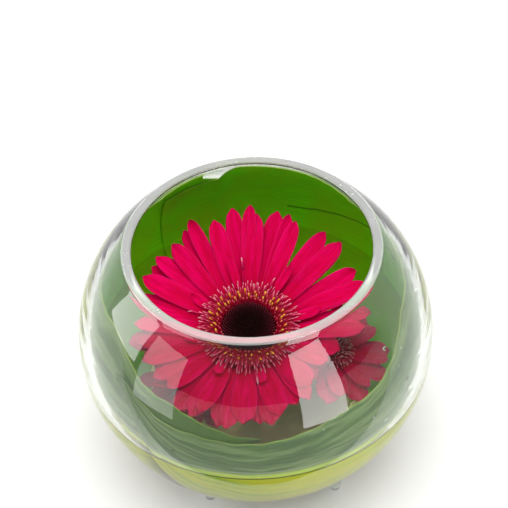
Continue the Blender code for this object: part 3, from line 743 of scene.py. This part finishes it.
pink = mix(tree, ramp(tree, clouds, (0.40, (0, 0, 0)), (0.62, (0.8, 0.8, 0.8))), pink, (0.52, 0.0, 0.036))
# A darker root: partly the strap's own deeper colour, partly painted shade under the ring and upper layers.
root_colour_and_shade = ramp(tree, lengthwise, (0.0, (1, 1, 1)), (0.45, (0.15, 0.15, 0.15)), (0.8, (0, 0, 0)))
pink = mix(tree, root_colour_and_shade, pink, (0.40, 0.0, 0.020))
# A paler colour along each strap's sides: a painted highlight.
pale_edge_highlight = sums(tree, "POWER", sums(tree, "ABSOLUTE", crosswise), 8.0)
pink = mix(tree, sums(tree, "MULTIPLY", pale_edge_highlight, 0.30), pink, (0.82, 0.02, 0.20))
tree.links.new(pink, shader.inputs["Base Color"])
bump(tree, shader, lines, 0.45, 0.0006)

# %% [markdown]
# Under the straps lies the flat base that they grow from. It is a small turned disc, part of the same
# piece, and only its edge shows between the roots.

# %% Build the ray florets
sheet = sheet_quads(RAY_ROWS, RAY_COLUMNS)
BASE_STEPS = 48
for number, (name, bloom) in enumerate(BLOOMS.items()):
    rays = ray_list(bloom, np.random.default_rng(SEED + number), np.random.default_rng(100 + number))
    middle = ray_sheets(rays, bloom["ring"])
    u = np.linspace(0, 1, RAY_ROWS)[None, :, None]
    v = np.linspace(-1, 1, RAY_COLUMNS)[None, None, :]
    thin = RAY_THICKNESS * (1 - 0.6 * np.abs(v) ** 4) * (1 - 0.4 * u**4)
    skins = two_skins(middle, np.broadcast_to(thin, middle.shape[:3]))
    shape = skins.shape[:-1]
    straps = skins.reshape(-1, 3)
    edge = bloom["ring"]
    base_points = closed_turn(
        np.array([edge - 0.0014, edge - 0.0004, edge, edge, edge - 0.0006]),
        np.array([0.0, 0.0002, 0.0008, PLATE - 0.0005, PLATE]), BASE_STEPS, 0.0, PLATE)
    count = len(rays)
    strap_faces = repeat_faces(sheet, count, 2 * RAY_ROWS * RAY_COLUMNS)
    base_faces = [group + len(straps) for group in turned_faces(5, BASE_STEPS)]
    filler = np.zeros(len(base_points))
    values = {
        "along": np.append(np.broadcast_to(u[:, None], shape).ravel(), filler),
        "across": np.append(np.broadcast_to(v[:, None], shape).ravel(), filler),
        "tone": np.append(np.broadcast_to(rays[:, 10][:, None, None, None], shape).ravel(), filler),
    }
    points = set_in_bowl(bloom, np.concatenate([straps, base_points]))
    add_piece(
        f"{name}_rays", points, [strap_faces, *base_faces], ray_look, (f"{name}_petals",), values)

# %% [markdown]
# Round the eye stands a ring of small open florets: crimson tubes whose pale pink lips curl outwards, with
# yellow-orange anthers between them. A curl is a thin tapering tube along a bent line. There are hundreds,
# so each has only four sides and a few rings, and the whole ring is one array.

# %% The ring of open florets
CURL_RINGS = 6
CURL_SIDES = 4
STRAY_CURLS = (
    (93, 0.0290, 0.0034, 0.0075, -20, 150), (62, 0.0215, 0.0036, 0.0060, 30, 90), (12, 0.0220, 0.0034, 0.0060, 40, 80),
    (-84, 0.0205, 0.0034, 0.0080, 35, 75), (160, 0.0225, 0.0034, 0.0065, 20, 120),
)
SMALL_RING = 0.015


def curls(turn, start, base, length, lean, bend, radius, taper):
    """Tubes along arcs. The arc's angle from upright grows from lean to lean + bend, so its points are the
    running sum of (sin, cos) of that angle; the ring radius shrinks by taper towards the end."""
    s = np.linspace(0, 1, CURL_RINGS)
    angle = lean[:, None] + bend[:, None] * s[None, :]
    step = (length / (CURL_RINGS - 1))[:, None]
    out = start[:, None] + np.cumsum(np.sin(angle) * step, axis=1) - np.sin(angle[:, :1]) * step
    up = base + np.cumsum(np.cos(angle) * step, axis=1) - np.cos(angle[:, :1]) * step
    round_angle = np.linspace(0, 2 * math.pi, CURL_SIDES, endpoint=False)[None, None, :]
    thick = radius[:, None, None] * (1 - taper * s**1.5)[None, :, None]
    bump_out = np.cos(round_angle) * thick
    aside = np.sin(round_angle) * thick
    r = out[:, :, None] + bump_out * np.cos(angle)[:, :, None]
    z = up[:, :, None] - bump_out * np.sin(angle)[:, :, None]
    t = turn[:, None, None]
    grid = np.stack([r * np.cos(t) - aside * np.sin(t), r * np.sin(t) + aside * np.cos(t), z], axis=-1)
    ends = np.stack([grid[:, 0].mean(axis=1), grid[:, -1].mean(axis=1)], axis=1)
    return np.concatenate([grid.reshape(len(turn), -1, 3), ends], axis=1)


def ring_rows(bloom, draw):
    """The rows of the ring from the eye outwards: share of the way across, count, length, lean, bend, radius,
    taper, and a kind: 0 for a crimson tube with a pale lip, 1 for a yellow anther."""
    inner, outer = bloom["disc"], bloom["ring"]
    size = 1.0 if outer > SMALL_RING else 0.72
    rows = (
        (0.05, 3.6, 0.0034, 0, 14, 0.00040, 0.5, 0), (0.15, 3.4, 0.0036, 6, 20, 0.00038, 0.5, 0),
        (0.24, 2.2, 0.0039, 10, 16, 0.00042, 0.2, 1), (0.36, 3.2, 0.0036, 14, 34, 0.00038, 0.6, 0),
        (0.48, 1.9, 0.0040, 22, 20, 0.00042, 0.2, 1), (0.55, 3.2, 0.0038, 24, 44, 0.00037, 0.6, 0),
        (0.70, 3.2, 0.0040, 32, 52, 0.00036, 0.6, 0), (0.84, 3.3, 0.0042, 42, 58, 0.00034, 0.6, 0),
        (0.98, 3.4, 0.0042, 54, 60, 0.00032, 0.6, 0),
    )
    if outer < SMALL_RING:
        rows = tuple((1.3 * row[0] - 0.35, *row[1:7], 0) for row in rows)
    parts = []
    for share, dense, length, lean, bend, radius, taper, kind in rows:
        middle = inner + (outer - inner) * share
        count = int(dense * 1000 * middle / size)
        turn = 2 * math.pi * (np.arange(count) + draw.uniform(-0.35, 0.35, count)) / count
        points = curls(
            turn, middle + draw.uniform(-0.0004, 0.0004, count), PLATE + GAP + 0.0006,
            size * length * draw.uniform(0.8, 1.15, count), np.radians(lean + draw.uniform(-12, 12, count)),
            np.radians(bend * draw.uniform(0.4, 1.6, count)), size**0.5 * radius * draw.uniform(0.8, 1.2, count),
            taper)
        pale = np.clip((share - 0.45) / 0.4, 0, 1) if outer > SMALL_RING else 1.0
        parts.append((points, np.full(count, float(kind)), draw.uniform(0, 1, count), np.full(count, pale)))
    if outer > SMALL_RING:
        turn, start, base, length, lean, bend = np.array(STRAY_CURLS).T
        points = curls(np.radians(turn), start, base[:, None], length, np.radians(lean), np.radians(bend),
                       np.full(len(turn), 0.0005), 0.5)
        parts.append((points, np.zeros(len(turn)), np.zeros(len(turn)), np.ones(len(turn))))
    return parts


def tube_faces(rings, sides):
    """Faces of one closed tube, with its two end points last."""
    return turned_faces(rings, sides)


# %% [markdown]
# The ring's colours come from three values on its points: how far along its curl a point is, what kind of
# curl it is, and one random number each.

# %% The look of the ring
ring_look, tree, shader = start_look(
    "ring_crimson", Roughness=0.5, Subsurface_Weight=0.15, Subsurface_Scale=0.001, Specular_IOR_Level=0.1)
lengthwise = value_of(tree, "along")
kind = value_of(tree, "kind")
tone = value_of(tree, "tone")
tube = ramp(
    tree, lengthwise, (0.0, (0.20, 0.0, 0.010)), (0.55, (0.50, 0.0, 0.030)), (0.85, (0.66, 0.03, 0.07)),
    (1.0, (0.82, 0.22, 0.26)))
anther = ramp(
    tree, lengthwise, (0.0, (0.20, 0.01, 0.01)), (0.5, (0.45, 0.06, 0.01)), (0.75, (0.85, 0.36, 0.02)),
    (1.0, (0.90, 0.52, 0.06)))
pale_tube = ramp(
    tree, lengthwise, (0.0, (0.42, 0.0, 0.05)), (0.55, (0.62, 0.02, 0.12)), (1.0, (0.93, 0.55, 0.64)))
tube = mix(tree, value_of(tree, "pale"), tube, pale_tube)
colour = mix(tree, kind, tube, anther)
colour = mix(tree, sums(tree, "MULTIPLY", tone, 0.35), colour, (0.45, 0.01, 0.05))
tree.links.new(colour, shader.inputs["Base Color"])
grain = noise(tree, place_of(tree), 2500)
bump(tree, shader, grain, 0.25, 0.0002)

# %% Build the ring
tube = tube_faces(CURL_RINGS, CURL_SIDES)
per_tube = CURL_RINGS * CURL_SIDES + 2
for number, (name, bloom) in enumerate(BLOOMS.items()):
    parts = ring_rows(bloom, np.random.default_rng(200 + number))
    tubes = np.concatenate([part[0] for part in parts])
    kinds = np.concatenate([part[1] for part in parts])
    tones = np.concatenate([part[2] for part in parts])
    pales = np.concatenate([part[3] for part in parts])
    s = np.append(np.repeat(np.linspace(0, 1, CURL_RINGS), CURL_SIDES), [0.0, 1.0])
    inner = bloom["disc"] + GAP
    outer = bloom["ring"] + 0.0006
    low = PLATE + GAP
    floor_r = np.array([inner, outer - 0.0004, outer, outer - 0.0006, inner, inner])
    floor_h = np.array([low, low, low + 0.0004, low + 0.0010, low + 0.0011, low])
    bed = turned_points(floor_r, floor_h, 64)
    bed_faces = grid_quads(6, 64, wrap=True) + len(tubes) * per_tube
    faces = [repeat_faces(group, len(tubes), per_tube) for group in tube] + [bed_faces]
    points = np.concatenate([tubes.reshape(-1, 3), bed.reshape(-1, 3)])
    bed_count = 6 * 64
    values = {
        "along": np.append(np.tile(s, len(tubes)), np.full(bed_count, 0.1)),
        "kind": np.append(np.repeat(kinds, per_tube), np.zeros(bed_count)),
        "tone": np.append(np.repeat(tones, per_tube), np.zeros(bed_count)),
        "pale": np.append(np.repeat(pales, per_tube), np.zeros(bed_count)),
    }
    add_piece(
        f"{name}_ring", set_in_bowl(bloom, points), faces, ring_look, (f"{name}_florets",), values)

# %% [markdown]
# The eye is a low dome of closed buds. Buds in a flower head follow a spiral in which each one is turned by
# the golden angle from the last, and the distance from the middle grows as a square root. That fills the
# dome evenly. A bud is a small pointed dome of six sides.

# %% The eye
BUD_SIDES = 6
GOLDEN_ANGLE = math.pi * (3 - math.sqrt(5))


def eye_buds(radius, count, draw):
    """Buds on the dome h = crown (1 - (r/R)^2): the i-th at r = R sqrt(i/count), turned by i golden angles.
    Each has three rings of six points that narrow to a tip, and stands square to the dome."""
    i = np.arange(count) + 0.5
    share = np.sqrt(i / count)
    turn = i * GOLDEN_ANGLE
    crown = 0.32 * radius
    low = PLATE + GAP + 0.0014
    size = 0.98 * radius / math.sqrt(count) * draw.uniform(0.9, 1.1, count)
    profile_r = np.array([1.0, 0.92, 0.55])
    profile_h = np.array([-0.6, 0.25, 0.85])
    ring_angle = np.linspace(0, 2 * math.pi, BUD_SIDES, endpoint=False)
    slope = 2 * crown * share / radius
    tilt = np.arctan(slope) + 0.35 * (share - 0.3)
    local_r = (size[:, None, None] * profile_r[None, :, None]) * np.ones((1, 1, BUD_SIDES))
    px = local_r * np.cos(ring_angle)
    py = local_r * np.sin(ring_angle)
    tall = (1.0 + 0.6 * smooth_step((share - 0.55) / 0.45))[:, None, None]
    pz = size[:, None, None] * profile_h[None, :, None] * tall + 0 * px
    tip = np.stack([0 * size, 0 * size, 1.25 * size * tall[:, 0, 0]], axis=-1)
    root = np.stack([0 * size, 0 * size, -0.6 * size], axis=-1)
    local = np.concatenate([np.stack([px, py, pz], axis=-1).reshape(count, -1, 3), root[:, None], tip[:, None]], axis=1)
    c, s = np.cos(tilt)[:, None], np.sin(tilt)[:, None]
    x = local[..., 0] * c + local[..., 2] * s
    z = -local[..., 0] * s + local[..., 2] * c
    r = share[:, None] * (radius - 0.0006) + x
    t = turn[:, None]
    y = local[..., 1]
    height = low + crown * (1 - share[:, None] ** 2) + z
    return np.stack([r * np.cos(t) - y * np.sin(t), r * np.sin(t) + y * np.cos(t), height], axis=-1), share


eye_look, tree, shader = start_look("eye_dark", Roughness=0.7, Specular_IOR_Level=0.04)
level = value_of(tree, "along")
far_out = value_of(tree, "across")
speck = noise(tree, place_of(tree), 1800)
dark = ramp(tree, speck, (0.35, (0.003, 0.0004, 0.0004)), (0.7, (0.016, 0.0015, 0.002)))
tipped = sums(tree, "MULTIPLY", sums(tree, "POWER", level, 3.0), sums(tree, "POWER", far_out, 5.0))
dark = mix(tree, sums(tree, "MULTIPLY", tipped, 0.8), dark, (0.35, 0.03, 0.06))
tree.links.new(dark, shader.inputs["Base Color"])
bump(tree, shader, speck, 0.4, 0.0003)

# %% Build the eyes
bud_faces = turned_faces(3, BUD_SIDES)
per_bud = 3 * BUD_SIDES + 2
for number, (name, bloom) in enumerate(BLOOMS.items()):
    radius = bloom["disc"]
    count = 460 if radius > 0.01 else 150
    buds, share = eye_buds(radius, count, np.random.default_rng(300 + number))
    rim_share = np.linspace(1, 0.05, 16)
    dome_r = np.append([radius - 0.0004, radius], rim_share * radius)
    dome_h = np.append([0.0, 0.0004], 0.0010 + 0.32 * radius * (1 - rim_share**2)) + PLATE + GAP
    dome = closed_turn(dome_r, dome_h, 48, PLATE + GAP, PLATE + GAP + 0.0010 + 0.32 * radius)
    dome_faces = [group + count * per_bud for group in turned_faces(len(dome_r), 48)]
    faces = [repeat_faces(group, count, per_bud) for group in bud_faces] + dome_faces
    level = np.append(np.repeat([0.0, 0.3, 0.8], BUD_SIDES), [0.0, 1.0])
    values = {
        "along": np.append(np.tile(level, count), np.zeros(len(dome))),
        "across": np.append(np.repeat(share, per_bud), np.zeros(len(dome))),
    }
    points = set_in_bowl(bloom, np.concatenate([buds.reshape(-1, 3), dome]))
    add_piece(f"{name}_eye", points, faces, eye_look, (f"{name}_disc",), values)

# %% [markdown]
# Below each bloom a green cup of narrow scales holds the head, and a leafless, finely ridged stem carries
# it down to the bowl's floor. The stem is a ring carried along a cubic curve. The scales are small sheets
# in three rows, laid over the cup like tiles.

# %% The stems
STEM_RADIUS = 0.0029
STEM_SIDES = 32
STEM_RINGS = 60
CUP_DEPTH = np.array([0.0, 0.0016, 0.0040, 0.0062, 0.0084])
CUP_SHARE = np.array([0.92, 1.0, 0.72, 0.42, 0.0])
SCALE_TIP = 0.06  # share of its width that a scale keeps at the tip, so that no face there is empty


def stem_line(bloom):
    """Centre line below the cup: (1-s)^3 a + 3s(1-s)^2 b + 3s^2(1-s) c + s^3 d, from the neck to the floor."""
    turn, centre = bloom_place(bloom)
    axis = turn[:, 2]
    neck = centre - axis * (GAP + CUP_DEPTH[-1])
    end = np.array([*bloom["stem_end"], WAIST + FLOOR + 0.0025])
    pull = np.linalg.norm(neck - end) / 3
    s = np.linspace(0, 1, STEM_RINGS)[:, None]
    b = neck - axis * pull
    c = end + np.array([0, 0, pull])
    return (1 - s) ** 3 * neck + 3 * s * (1 - s) ** 2 * b + 3 * s**2 * (1 - s) * c + s**3 * end


def swept_tube(line, radius, sides, ridges):
    """Rings round a line. Each ring lies square to the line, in directions e1 = y x d and e2 = d x e1, and
    its radius swells by a small cosine wave, which makes the ridges. As e1 x e2 = d, the faces of a turned
    shape point outwards here too."""
    direction = np.gradient(line, axis=0)
    direction /= np.linalg.norm(direction, axis=1, keepdims=True)
    e1 = np.cross(np.array([0.0, 1.0, 0.0]), direction)
    e1 /= np.linalg.norm(e1, axis=1, keepdims=True)
    e2 = np.cross(direction, e1)
    a = np.linspace(0, 2 * math.pi, sides, endpoint=False)
    r = (radius[:, None] * (1 + ridges * np.cos(8 * a)[None, :]))[..., None]
    ring = line[:, None] + r * (np.cos(a)[:, None] * e1[:, None] + np.sin(a)[:, None] * e2[:, None])
    return np.concatenate([ring.reshape(-1, 3), line[:1], line[-1:]])


def cup_scales(bloom, draw):
    """Pointed scales on the cup: u from root to tip, v across. Depth below the bloom falls with u, the
    radius follows the cup's outline plus a little per row, and the width shrinks as 1 - 0.94 u^2.5."""
    size = bloom["cup"]
    sheets = []
    u = np.linspace(0, 1, 7)[:, None]
    v = np.linspace(-1, 1, 5)[None, :]
    for row, (deep, shallow, count) in enumerate(((0.0072, 0.0030, 13), (0.0058, 0.0016, 17), (0.0040, 0.0002, 21))):
        for i in range(count):
            turn = 2 * math.pi * (i + 0.5 * (row % 2)) / count + draw.uniform(-0.05, 0.05)
            depth = deep + (shallow - deep) * u
            radius = size * np.interp(depth, CUP_DEPTH, np.maximum(CUP_SHARE, STEM_RADIUS / size))
            radius = radius + 0.0005 - 0.00012 * row + 0.0003 * u - 0.0001 * v**2
            angle = turn + v * (1 - (1 - SCALE_TIP) * u**2.5) * 0.62 * math.pi / count
            x, y = radius * np.cos(angle), radius * np.sin(angle)
            sheets.append(np.stack([x, y, -GAP - depth + 0 * v], axis=-1))
    return np.array(sheets)


stem_look, tree, shader = start_look("stem_green", Roughness=0.45, Subsurface_Weight=0.1, Subsurface_Scale=0.001)
mottle = noise(tree, place_of(tree, (1, 1, 0.15)), 600)
green = ramp(tree, mottle, (0.3, (0.10, 0.22, 0.02)), (0.7, (0.26, 0.42, 0.07)))
tree.links.new(green, shader.inputs["Base Color"])
bump(tree, shader, mottle, 0.3, 0.0004)

scale_quads = sheet_quads(7, 5)
for number, (name, bloom) in enumerate(BLOOMS.items()):
    line = stem_line(bloom)
    tube_points = swept_tube(line, np.full(STEM_RINGS, STEM_RADIUS), STEM_SIDES, 0.025)
    cup_r = np.maximum(bloom["cup"] * CUP_SHARE, STEM_RADIUS)
    fine_depth = np.linspace(0, CUP_DEPTH[-1], 14)[::-1]
    fine_r = np.interp(fine_depth, CUP_DEPTH, cup_r)
    cup_points = closed_turn(fine_r, -GAP - fine_depth, 48, -GAP - CUP_DEPTH[-1], -GAP)
    scales = two_skins(cup_scales(bloom, np.random.default_rng(400 + number)), 0.0004 * np.ones((1, 1, 1)))
    flat_scales = scales.reshape(-1, 3)
    head = set_in_bowl(bloom, np.concatenate([cup_points, flat_scales]))
    points = np.concatenate([tube_points, head])
    shift = len(tube_points)
    faces = turned_faces(STEM_RINGS, STEM_SIDES)
    faces += [group + shift for group in turned_faces(14, 48)]
    faces += [repeat_faces(scale_quads, len(scales), 70) + shift + len(cup_points)]
    add_piece(f"{name}_stalk", points, faces, stem_look, (f"{name}_stem",))

# %% [markdown]
# The floor is plain and pale, and it runs far beyond the view, so no edge shows. It comes in two parts, and
# the glass doesn't mirror the part in front: there the photograph has a dark room, not a bright floor.

# %% The floor
floor_look, tree, shader = start_look("floor_white", Base_Color=(0.96, 0.96, 0.96, 1), Roughness=0.7)
FLOOR_REACH = 6.0
FLOOR_SPLIT = -0.10


def floor_part(name, near, far):
    """A level rectangle on the table plane between two distances from the bowl's axis."""
    mesh = bpy.data.meshes.new(name)
    corners = [(-FLOOR_REACH, near, 0), (FLOOR_REACH, near, 0), (FLOOR_REACH, far, 0), (-FLOOR_REACH, far, 0)]
    mesh.from_pydata(corners, [], [(0, 1, 2, 3)])
    mesh.materials.append(floor_look)
    part = bpy.data.objects.new(name, mesh)
    bpy.context.scene.collection.objects.link(part)
    return part


floor_part("floor_behind", FLOOR_SPLIT, FLOOR_REACH)
floor_part("floor_in_front", -FLOOR_REACH, FLOOR_SPLIT).visible_glossy = False

# %% [markdown]
# The light is that of a bright studio: a wide lamp overhead and a pale surround. The surround is brightest
# above and behind and dark in front, behind the camera, so the front of the glass mirrors little and the
# petals behind it keep their colour.

# %% The light
def area_light(name, place, aim, size, power, height=None):
    """A soft lamp at a place, turned to face a point."""
    lamp = bpy.data.lights.new(name, "AREA")
    lamp.shape = "RECTANGLE"
    lamp.size = size
    lamp.size_y = height or size
    lamp.energy = power
    item = bpy.data.objects.new(name, lamp)
    item.location = place
    way = Vector(aim) - Vector(place)
    item.rotation_euler = way.to_track_quat("-Z", "Y").to_euler()
    bpy.context.scene.collection.objects.link(item)
    return item


area_light("overhead", (0.0, -0.1, 1.3), (0, 0, 0.06), 1.2, 9.0)

world = bpy.data.worlds.new("pale_surround")
world.use_nodes = True
way = add_node(world.node_tree, "ShaderNodeTexCoord").outputs["Generated"]
ways = add_node(world.node_tree, "ShaderNodeSeparateXYZ", {0: way}).outputs
forward = sums(world.node_tree, "ADD", ways[1], sums(world.node_tree, "MULTIPLY", ways[2], 0.55))
surround = ramp(world.node_tree, sums(world.node_tree, "ADD", forward, 0.75), (0.0, (0.08, 0.08, 0.08)),
                (0.50, (0.14, 0.14, 0.14)), (0.85, (1.0, 1.0, 1.0)))
world.node_tree.links.new(surround, world.node_tree.nodes["Background"].inputs["Color"])
world.node_tree.nodes["Background"].inputs["Strength"].default_value = 1.25
bpy.context.scene.world = world

# %% [markdown]
# Soft boxes stand round the bowl, and their mirror images lie on the front of the glass as pale patches.
# Each is a lamp that only mirrors see, so its patch can be set by itself without changing how the petals
# are lit. It is placed by the turn and the height of the direction in which the glass mirrors it.

# %% The soft boxes
def soft_box(name, turns, heights, distance, brightness):
    """An upright lamp between two turns from the front (degrees, right is positive) and two heights above
    the table, at a distance from the bowl. Its power is brightness x pi x area."""
    middle = math.radians(0.5 * (turns[0] + turns[1]))
    width = 2 * distance * math.tan(math.radians(0.5 * (turns[1] - turns[0])))
    tall = heights[1] - heights[0]
    centre = (distance * math.sin(middle), -distance * math.cos(middle), 0.5 * (heights[0] + heights[1]))
    box = area_light(name, centre, (0, 0, centre[2]), width, brightness * math.pi * width * tall, tall)
    box.visible_camera = False
    box.visible_diffuse = False
    box.visible_transmission = False


soft_box("right_box", (21, 45), (0.0, 0.34), 0.35, 7.0)
soft_box("left_box", (-68, -44), (0.0, 0.26), 0.35, 3.0)
soft_box("far_left_box", (-101, -72), (0.10, 0.30), 0.35, 6.0)

# %% [markdown]
# The photograph looks down at the bowl from in front, by about 49 degrees. The lens is long, so the bowl is
# seen with little perspective. The camera looks a little above the bowl and is rolled by under three
# degrees, which puts the bowl in the lower half of the picture, leaning a little to the left.

# %% The camera
LOOK_DOWN = math.radians(49.4)
DISTANCE = 0.56
FOCAL = 1229.0
PICTURE = 508
camera_data = bpy.data.cameras.new("photo_camera")
camera_data.sensor_width = 36
camera_data.lens = 36 * FOCAL / PICTURE
camera_data.clip_start = 0.01
camera = bpy.data.objects.new("photo_camera", camera_data)
bpy.context.scene.collection.objects.link(camera)
camera.location = (0.0, -DISTANCE * math.cos(LOOK_DOWN), WAIST + DISTANCE * math.sin(LOOK_DOWN))
steps = (
    (math.pi / 2 - LOOK_DOWN, "X"), (math.radians(-2.7), "Z"),
    (math.atan(72.5 / FOCAL), "X"), (math.atan(1.5 / FOCAL), "Y"),
)
pose = Matrix.Identity(3)
for angle, axis in steps:
    pose = pose @ Matrix.Rotation(angle, 3, axis)
camera.rotation_euler = pose.to_euler()
bpy.context.scene.camera = camera

# %% [markdown]
# The plain view transform keeps the pinks as saturated as they are in the photograph. Light has to cross
# up to a dozen clear surfaces, so the paths are allowed to be long.

# %% Render settings that belong to the looks
scene = bpy.context.scene
scene.view_settings.view_transform = "Standard"
scene.cycles.max_bounces = 40
scene.cycles.transmission_bounces = 40
scene.cycles.glossy_bounces = 12
scene.cycles.transparent_max_bounces = 24
scene.cycles.diffuse_bounces = 5
